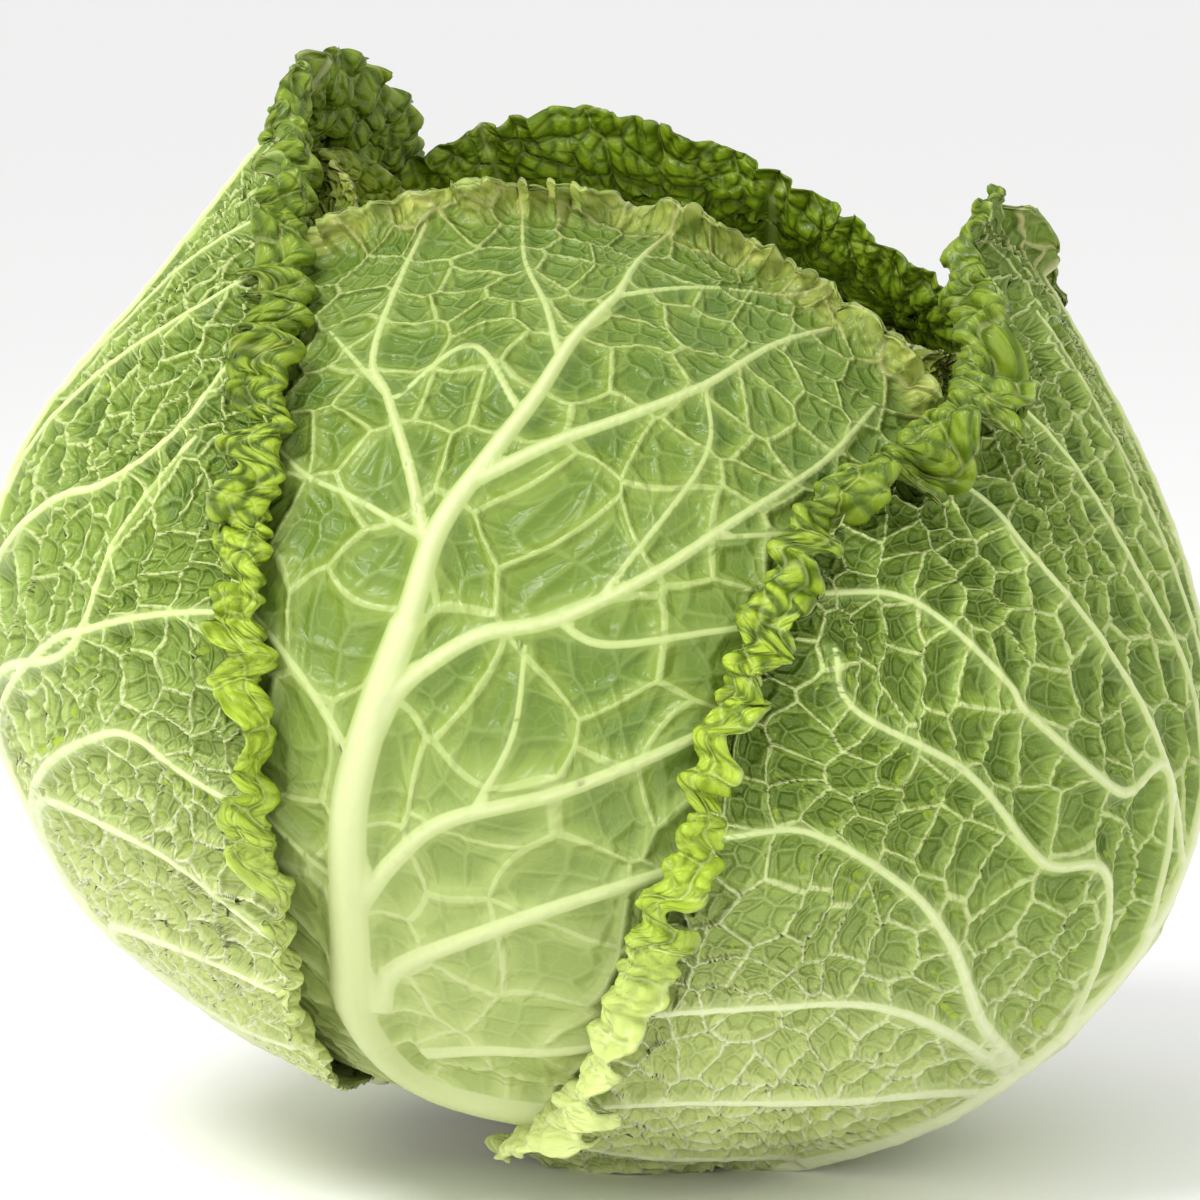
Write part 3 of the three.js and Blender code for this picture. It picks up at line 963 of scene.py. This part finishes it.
def place_camera():
    into = np.array([0, math.cos(VIEW_RISE), -math.sin(VIEW_RISE)])
    above = np.array([0, math.sin(VIEW_RISE), math.cos(VIEW_RISE)])
    aim = HEAD_MIDDLE + above * AIM_ABOVE
    data = bpy.data.cameras.new("camera")
    data.sensor_width = FILM_MM
    data.lens = FILM_MM * VIEW_DISTANCE / FRAME_MM
    data.clip_start = NEAREST
    camera = bpy.data.objects.new("camera", data)
    camera.location = (aim - into * VIEW_DISTANCE) * MM
    camera.rotation_euler = (math.pi / 2 - VIEW_RISE, 0, 0)
    bpy.context.scene.collection.objects.link(camera)
    bpy.context.scene.camera = camera
    print("lens in mm: %.1f" % data.lens)


def add_panel(name, where, size, power):
    data = bpy.data.lights.new(name, "AREA")
    data.shape = "DISK"
    data.size = size
    data.energy = power
    panel = bpy.data.objects.new(name, data)
    panel.location = where
    look = Vector((HEAD_MIDDLE * MM).tolist()) - panel.location
    panel.rotation_euler = look.to_track_quat("-Z", "Y").to_euler()
    bpy.context.scene.collection.objects.link(panel)


def hang_tent():
    world = bpy.data.worlds.new("tent")
    world.use_nodes = True
    tent = world.node_tree.nodes["Background"].inputs
    tent["Color"].default_value = WHITE
    tent["Strength"].default_value = TENT_STRENGTH
    bpy.context.scene.world = world


def lay_floor():
    bpy.ops.object.select_all(action="DESELECT")
    bpy.ops.mesh.primitive_plane_add(size=FLOOR_SIZE, location=(0, 0, 0))
    floor = bpy.context.object
    floor.name = "floor"
    material, _, shader = plain_material("pale_floor")
    shader["Base Color"].default_value = FLOOR_COLOUR
    shader["Roughness"].default_value = 0.7
    floor.data.materials.append(material)


place_camera()
for name, where, size, power in PANELS:
    add_panel(name, where, size, power)
bpy.context.scene.view_settings.view_transform = "Standard"
hang_tent()
lay_floor()

# %% [markdown]
# ## The wrapper leaves
# The front leaf is the showpiece: its midrib curls out from under the head and climbs left of
# the middle. Its veins are listed one by one. The two outermost leaves lap over it from the
# sides with frilled rims, and the back leaf stands behind the opening with its dark face in
# view.

# %% The front leaf
FRONT_STALK = [(18, -47), (9, -49), (2, -50), (-3, -48), (-6, -43), (-8, -35), (-8, -26),
               (-8.5, -17), (-9, -8), (-8, 7)]
FRONT_RIB = FRONT_STALK + [(-8, 16), (-6, 24), (-4, 32), (-3, 40), (-1, 48)]
FRONT_VEINS = [
    (FRONT_RIB, 5.4, 1.3),
    (FRONT_STALK, 6.4, 3.0),
    ([(-9, -8), (-11, -5), (-13, -3), (-17, 0), (-24, 4), (-34, 8)], 1.1, 0.5),
    ([(-8, 14), (-9, 15), (-13, 21), (-19, 28), (-23, 32), (-26, 43), (-28, 52)], 1.4, 0.6),
    ([(-19, 28), (-30, 34)], 0.8, 0.4),
    ([(-9, 15), (-18, 17), (-24, 18), (-33, 22)], 0.8, 0.4),
    ([(-5, 30), (-13, 36), (-18, 28)], 0.9, 0.6),
    ([(-4, 38), (-8, 44), (-14, 51), (-20, 62)], 0.9, 0.4),
    ([(-8, -19), (-13, -17), (-22, -12), (-34, -8)], 0.8, 0.4),
    ([(-6, 22), (-4, 24), (0, 28), (6, 33), (12, 39), (18, 48), (24, 54)], 1.7, 0.7),
    ([(-8, -3), (-7, 1), (-5, 4), (-1, 8), (5, 11), (12, 17), (18, 24), (26, 34), (31, 44)],
     1.9, 0.6),
    ([(5, 11), (10, 10), (20, 14), (30, 18)], 0.9, 0.5),
    ([(-7, -20), (-4, -14), (0, -9), (9, -4), (16, 1), (24, 7), (36, 14)], 1.9, 0.7),
    ([(-5, -34), (-3, -27), (7, -18), (17, -11), (30, -3)], 2.4, 1.0),
    ([(0, -41), (7, -36), (15, -33), (28, -26)], 2.2, 1.0),
    ([(-1, 48), (-1, 57), (1, 70)], 1.1, 0.5),
    ([(-1, 48), (7, 54), (13, 57), (22, 60)], 0.9, 0.5),
    ([(8, 13), (14, 30), (12, 39)], 0.7, 0.5),
    ([(16, 22), (27, 26)], 0.7, 0.4),
    ([(2, -8), (4, 0), (3, 8)], 0.7, 0.5),
]
LEAF_DEFAULTS = {
    "mesh": (180, 20), "dense_at": 0, "flare": [0],
    "crest": 0.34, "fine_puff": 0.25, "blister": 0.9, "rim_net": 0.6,
    "band": [12], "roll": 1.8, "uneven": 0.4, "ragged": 0.5,
}


def add_leaf(name, material, middle, depth, seed, reach, **values):
    """Grows a leaf from its middle (azimuth, degrees from the pole), its depth and its values."""
    leaf = dict(LEAF_DEFAULTS, name=name, middle=middle, depth=depth, seed=seed, reach=reach)
    leaf.update(values)
    grow_leaf(leaf).data.materials.append(material)


front_green = leaf_material(
    "front_leaf_skin",
    ((134, 158, 62), (88, 118, 34), (200, 213, 134), (184, 201, 122), (212, 221, 160),
     (168, 184, 64), (128, 152, 34), (196, 202, 96)), (0.7, 0.15, 0.7))
add_leaf(
    "leaf_front", front_green, (-12, 90), 4.0, 21,
    [67.5, 62.5, 60, 60, 60, 68, 76, 68, 62, 60, 61, 62.5],
    veins=FRONT_VEINS, cell=17.0, puff=1.0, fine_puff=0.2, crest=0.22, rim_net=0.8, blister=0.8,
    curl=[1.0, 0.8, 0.3, 0.2, 0.1, 0.1, 0.1, 0.1, 0.1, 0.1, 0.5, 0.8],
    free=[1, 1, 0, 0, 0, 0, 0, 0, 0, 0, 0.2, 1], band=[8], roll=1.2, ruffle=[1.3], wave=12.0)

# %% The right leaf
RIGHT_RIB = [(-2, -70), (-8, -50), (-11, -28), (-9, -12), (-3, 5), (4, 22), (10, 42), (11, 66)]
RIGHT_VEINS = [
    (RIGHT_RIB, 4.4, 1.2),
    ([(-11, -20), (-27, -14), (-38, -6), (-45, -2), (-56, 1), (-63, -2)], 1.7, 0.6),
    ([(-10, -14), (-20, 2), (-31, 3), (-42, 10), (-54, 14), (-56, 20)], 1.5, 0.6),
    ([(-7, -4), (-12, 12), (-21, 10), (-35, 16), (-38, 19), (-48, 26), (-59, 25)], 1.5, 0.6),
    ([(-4, 3), (-18, 19), (-31, 31), (-35, 37), (-41, 42)], 1.4, 0.6),
    ([(-1, 10), (-4, 18), (-12, 30), (-18, 43), (-24, 52)], 1.3, 0.6),
    ([(3, 20), (-2, 30), (-4, 46), (-6, 58)], 1.2, 0.6),
    ([(-11, -21), (-37, -15), (-51, -19), (-62, -27)], 1.5, 0.7),
    ([(-11, -24), (-27, -26), (-46, -36), (-53, -49)], 1.6, 0.8),
    ([(-9, -45), (-22, -46), (-36, -58)], 1.6, 0.9),
] + side_veins(RIGHT_RIB, 1, 8, 60)
outer_green = leaf_material(
    "outer_leaf_skin",
    ((150, 178, 72), (84, 114, 20), (228, 238, 156), (204, 220, 140), (240, 244, 202),
     (176, 202, 58), (84, 110, 8), (124, 152, 40)), (0.9, 0.2, 1.0))
add_leaf(
    "leaf_right", outer_green, (75, 85), 0.4, 33,
    [72, 56, 58, 62, 66, 76, 70, 79, 75, 73, 73, 67],
    veins=RIGHT_VEINS, cell=11.5, puff=2.8, dense_at=285,
    flare=[7, -1, -6, -6, -3, -1] + [0] * 17 + [3],
    curl=[1.4, 0.2, 0.3, 0.8, 0.7, 0.4, 0.1, 0.9, 2.2, 2.8, 2.9, 2.8],
    free=[1, 1, 1, 1, 0.6, 0.1, 0, 0.6, 1, 1, 1, 1],
    band=[11, 9, 10, 11, 11, 11, 11, 11, 11, 10, 10, 9,
          9, 10, 11, 14, 15, 14, 13, 12, 14, 18, 18, 11],
    ruffle=[1.4, 0.8, 1.0, 1.2, 1.2, 1, 1, 1.5, 2.0, 1.7, 1.5, 1.6],
    wave=14.0, uneven=0.12, ragged=0.8)

# %% The left leaf
LEFT_RIB = [(2, -70), (4, -48), (7, -28), (9, -10), (9, 8), (7, 28), (2, 50), (0, 62)]
LEFT_VEINS = [
    (LEFT_RIB, 4.4, 1.2),
    ([(9, -2), (29, 11), (37, 15), (42, 23), (41, 35)], 1.5, 0.6),
    ([(9, -12), (24, -6), (40, -1), (43, 12), (45, 23)], 1.4, 0.6),
    ([(8, -18), (35, -2), (42, 1), (52, 5), (62, 8)], 1.4, 0.6),
    ([(7, -27), (27, -17), (42, -10), (49, -8), (56, -11), (64, -14)], 1.5, 0.6),
    ([(6, -34), (26, -19), (48, -20), (60, -30)], 1.4, 0.6),
    ([(5, -42), (24, -34), (44, -34), (58, -40)], 1.5, 0.8),
    ([(4, -52), (22, -46), (44, -50)], 1.5, 0.9),
    ([(9, 8), (20, 22), (28, 32), (31, 40)], 1.3, 0.6),
    ([(8, 18), (15, 32), (20, 44)], 1.2, 0.6),
] + side_veins(LEFT_RIB, -1, 8, 60)
add_leaf(
    "leaf_left", outer_green, (-95, 85), 0.4, 47,
    [58.5, 61.5, 65.5, 70, 73, 70, 71, 70, 68, 66, 63, 64],
    veins=LEFT_VEINS, cell=11.0, puff=2.8, dense_at=65,
    flare=[6.5, 0, 0, 0, 0, 0, 0, 0, 0, 0, 2, 5],
    curl=[0.8, 2.5, 2.9, 2.8, 1.6, 0.5, 0.1, 0.5, 0.9, 1.0, 0.7, 0.5],
    free=[1, 1, 1, 1, 0.8, 0, 0, 0.5, 1, 1, 1, 1],
    band=[10, 14, 14, 13, 11, 9, 8, 9, 10, 10, 10, 10],
    ruffle=[1.5, 1.6, 1.8, 1.9, 1.9, 1.4, 1, 1.2, 1.6, 1.6, 1.6, 1.6],
    wave=13.0, uneven=0.16, ragged=0.8)

# %% The back leaf
BACK_RIB = [(0, -76), (1, -50), (2, -20), (1, 10), (0, 35), (0, 56)]
BACK_VEINS = [(BACK_RIB, 4.4, 1.0)] + feathered(BACK_RIB, 7, 58)
back_green = leaf_material(
    "back_leaf_skin",
    ((134, 164, 66), (80, 110, 26), (184, 204, 116), (192, 210, 134), (218, 226, 172),
     (166, 196, 34), (92, 118, 4), (120, 146, 40)), (0.8, 0.3, 0.9))
add_leaf(
    "leaf_back", back_green, (168, 92), 4.0, 59,
    [60, 65, 68, 66, 62, 68, 78, 68, 62, 66, 66, 63],
    veins=BACK_VEINS, cell=12.5, puff=2.0, flare=[-8, 3, 5, 0, 0, 0, 0, 0, 0, 0, 0, -9],
    curl=[0.5, 0.5, 0.4, 0.3, 0.1, 0.1, 0.1, 0.1, 0.1, 0.3, 0.4, 0.5],
    free=[1, 1, 0.3, 0, 0, 0, 0, 0, 0, 0, 0.2, 1], roll=1.2, ruffle=[1.2], wave=12.0)

# %% [markdown]
# ## The inner leaves
# Inside the wrappers the leaves are younger: yellower, softer and more tightly ruffled. Only
# their rims show in the opening, but each is a whole leaf down to the stem.

# %% The four inner leaves
inner_green = leaf_material(
    "inner_leaf_skin",
    ((176, 196, 78), (138, 164, 40), (198, 210, 120), (208, 218, 132), (220, 226, 160),
     (176, 192, 60), (104, 128, 12), (190, 196, 80)), (0.6, 0.3, 0.9))
INNER_RIB = [(0, -80), (1, -50), (0, -15), (1, 20), (0, 48)]
INNER_VEINS = [(INNER_RIB, 3.6, 0.9)] + feathered(INNER_RIB, 6, 50)
INNER_LEAVES = [
    ("leaf_inner_right", (62, 100), 9.6, [42, 46, 54, 56, 58, 66, 84, 66, 58, 56, 52, 48], 71),
    ("leaf_inner_left", (-100, 100), 9.6, [40, 46, 56, 58, 60, 66, 84, 66, 60, 58, 52, 44], 72),
    ("leaf_inner_front", (-25, 98), 13.2, [58, 58, 56, 56, 58, 66, 82, 66, 58, 56, 56, 58], 73),
    ("leaf_inner_back", (160, 98), 13.2, [40, 44, 54, 56, 58, 66, 82, 66, 58, 56, 50, 42], 74),
]
for name, middle, depth, reach, seed in INNER_LEAVES:
    add_leaf(
        name, inner_green, middle, depth, seed, reach,
        veins=INNER_VEINS, cell=8.5, puff=1.3, mesh=(110, 14),
        curl=[0.6, 0.3, 0.1, 0.1, 0.0, 0.0, 0.0, 0.0, 0.0, 0.1, 0.1, 0.3],
        free=[1, 0.5, 0, 0, 0, 0, 0, 0, 0, 0, 0, 0.5], roll=1.0, ruffle=[1.5], wave=10.0)

# %% [markdown]
# ## The heart
# The heart is a tight ball of folded leaves. Its dome carries the rims of the last few leaves
# that wrap it, one lapping over the next, with the same net of veins.

# %% The heart
HEART_RINGS = 150
HEART_DEPTH = 19.0
HEART_ARC_MM = 1.5  # one degree from the top of the ball
HEART_CELL = 8.5
HEART_PUFF = 1.1
HEART_SPREAD = 0.36
HEART_RIB = [(-6, -62), (-3, -40), (1, -18), (0, 2), (-3, 20), (-8, 36)]
HEART_RIB_SHARE = 0.6
HEART_TIP = 0.6  # its colours are those of a leaf a little above the middle
LAPS = ((20, 1), (150, 2), (265, 3))  # which way each rim lies, in degrees, and its seed
LAP_STRAY_MM = 9.0
LAP_STRAY_LENGTH = 50.0
LAP_TORN_MM = 2.0
LAP_TEAR_LENGTH = 9.0
LAP_STEP = 2.2
LAP_LIP = 1.2
LAP_LIP_WIDTH = 2.5
LAP_EDGE = 1.5
INTO_STEM = 1.5


def lapped_rims(x_mm, y_mm):
    """How far the rims of the last leaves raise the ball: a step with a lip on its edge."""
    raised = np.zeros(len(x_mm))
    for azimuth, seed in LAPS:
        turn = math.radians(azimuth)
        over = x_mm * math.cos(turn) + y_mm * math.sin(turn)
        edge = over + LAP_STRAY_MM * wobble(x_mm, y_mm, LAP_STRAY_LENGTH, seed)
        edge = edge + LAP_TORN_MM * wobble(x_mm, y_mm, LAP_TEAR_LENGTH, seed + 9)
        lip = np.exp(-((edge - LAP_EDGE) / LAP_LIP_WIDTH)**2)
        raised += LAP_STEP * smoothstep(edge, -2 * LAP_EDGE, LAP_EDGE) + LAP_LIP * lip
    return raised


def grow_heart():
    bpy.ops.object.select_all(action="DESELECT")
    bpy.ops.mesh.primitive_uv_sphere_add(
        segments=2 * HEART_RINGS, ring_count=HEART_RINGS, radius=1.0)
    piece = bpy.context.object
    piece.name = "heart_ball"
    mesh = piece.data
    mesh.uv_layers[0].name = UV_NAME
    ball = np.empty(len(mesh.vertices) * 3)
    mesh.vertices.foreach_get("co", ball)
    ways = unit(ball.reshape(-1, 3))
    from_top = degrees_from_pole(-ways)
    arc = np.maximum(np.hypot(ways[:, 0], ways[:, 1]), 1e-9)
    x_mm, y_mm = (from_top * ways[:, axis] / arc * HEART_ARC_MM for axis in (0, 1))
    net_x, net_y = x_mm / HEART_CELL + NET_START, y_mm / HEART_CELL + NET_START
    veins = [(HEART_RIB, 2.6, 0.8)] + feathered(HEART_RIB, 6, 40)
    rib, rib_width = meet_veins(x_mm, y_mm, veins, np.zeros(len(ways)))[2:]
    puffed = HEART_PUFF * pillow(net_distance(net_x, net_y, NET_EVENNESS), HEART_SPREAD)
    raised = lapped_rims(x_mm, y_mm) + puffed * smoothstep(-rib, 0, 3)
    raised = raised + rib_ridge(rib, rib_width, HEART_RIB_SHARE)
    points = dome_point(ways, HEART_DEPTH - raised) + HEAD_MIDDLE
    axis_height = (points - HEAD_MIDDLE) @ AXIS
    short = np.clip(STEM_TOP + INTO_STEM - axis_height, 0, None) * (from_top > 90)
    points = points + AXIS * short[:, None]
    mesh.vertices.foreach_set("co", (points * MM).ravel())
    dome = pillow(fine_distance(net_x, net_y), HEART_SPREAD)
    tip, none = np.full(len(ways), HEART_TIP), np.zeros(len(ways))
    set_skin_values(mesh, net_x, net_y, rib, none, dome, tip, none)
    mesh.update()
    bpy.ops.object.shade_smooth()
    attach(piece, "root")
    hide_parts("heart")
    return piece


heart_green = leaf_material(
    "heart_skin",
    ((198, 212, 118), (172, 194, 84), (212, 222, 146), (222, 228, 166), (230, 234, 186),
     (206, 214, 122), (158, 178, 60), (206, 212, 120)), (0.5, 0.3, 0.9))
grow_heart().data.materials.append(heart_green)

# %% [markdown]
# ## The stem
# The stem is a stub that was cut with a knife: pale and fibrous, a little browner on the cut.

# %% The stem
STEM_SIDES = 120
WORN_EDGE_MM = 1.8
CUT_FROM = 0.2  # the cut's colour fades between these heights (mm) above the cut
CUT_TO = 2.5
FIBRES = 900.0
SPOTS = 160.0


def turn_stem():
    bpy.ops.object.select_all(action="DESELECT")
    bpy.ops.mesh.primitive_cylinder_add(
        vertices=STEM_SIDES, radius=STEM_RADIUS * MM, depth=(STEM_TOP - STEM_CUT) * MM,
        location=(HEAD_MIDDLE + AXIS * (STEM_TOP + STEM_CUT) / 2) * MM, rotation=(0, LEAN, 0))
    bpy.ops.object.transform_apply(location=True, rotation=True, scale=True)
    piece = bpy.context.object
    piece.name = "stem_stub"
    soft = piece.modifiers.new("worn_edges", "BEVEL")
    soft.width = WORN_EDGE_MM * MM
    soft.segments = 4
    bpy.ops.object.modifier_apply(modifier=soft.name)
    mesh = piece.data
    co = np.empty(len(mesh.vertices) * 3)
    mesh.vertices.foreach_get("co", co)
    height = (co.reshape(-1, 3) / MM - HEAD_MIDDLE) @ AXIS
    set_attribute(mesh, "cut", 1 - smoothstep(height, STEM_CUT + CUT_FROM, STEM_CUT + CUT_TO))
    bpy.ops.object.shade_smooth()
    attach(piece, "root")
    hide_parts("stem")
    return piece


def stem_material():
    material, tree, shader = plain_material("stem_skin")
    n = Nodes(tree)
    place = n.add("ShaderNodeTexCoord").outputs["Object"]
    fibres, spots = n.noise(place, FIBRES, 4.0), n.noise(place, SPOTS)
    side = n.mix(fibres, reflected(222, 226, 176), reflected(192, 202, 128))
    cut = n.mix(n.ramp(spots, 0.35, 0.7), reflected(226, 222, 182), reflected(182, 158, 104))
    n.put(shader["Base Color"], n.mix(n.attribute("cut"), side, cut))
    n.put(shader["Normal"], n.bump(fibres, 0.6, 0.5))
    shader["Roughness"].default_value = 0.55
    return material


turn_stem().data.materials.append(stem_material())
